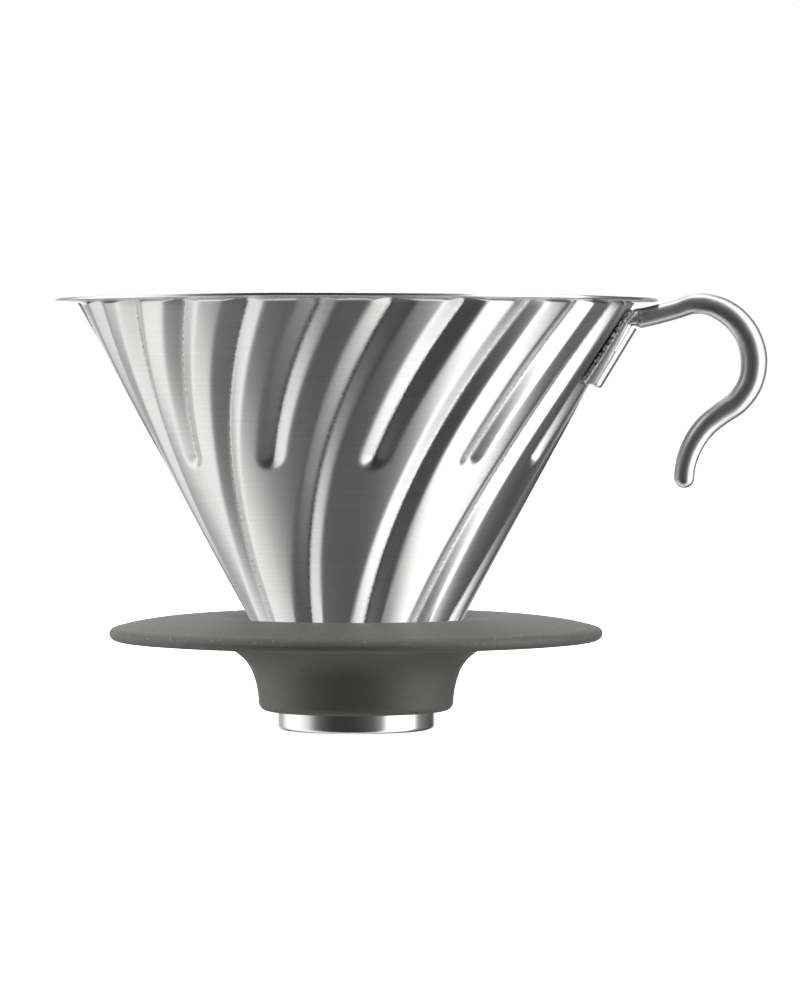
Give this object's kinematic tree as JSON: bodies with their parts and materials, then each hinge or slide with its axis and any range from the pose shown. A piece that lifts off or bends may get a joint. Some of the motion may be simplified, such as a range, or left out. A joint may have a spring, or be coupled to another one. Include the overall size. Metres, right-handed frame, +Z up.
{
  "type": "pour over dripper",
  "caption": "Ribbed steel cone dripper with a hook handle and a pull-off silicone base, for brewing coffee over a mug or server.",
  "frame": {"origin": "bottom of the spout ring, at the centre of the object's bounding box; the cone's own axis is at x = -0.0106", "axes": "+Z up along the cone's axis, +X towards the hook handle"},
  "size_m": [0.1382, 0.117, 0.0843],
  "materials": {
    "brushed_steel": "fine circular brushing",
    "ring_steel": "fine turned satin",
    "wire_steel": "polished",
    "bracket_steel": "polished, pressed",
    "silicone": "matt moulded silicone"
  },
  "bodies": {
    "cone": {"cone_body": "brushed_steel", "spout_ring": "ring_steel", "handle_hook": "wire_steel", "handle_bracket": "bracket_steel"},
    "base": {"silicone_base": "silicone"}
  },
  "joints": [
    {"name": "base_pull_off", "type": "slide", "parent": "cone", "child": "base", "axis": [0, 0, -1], "range_m": [0, 0.03]}
  ]
}
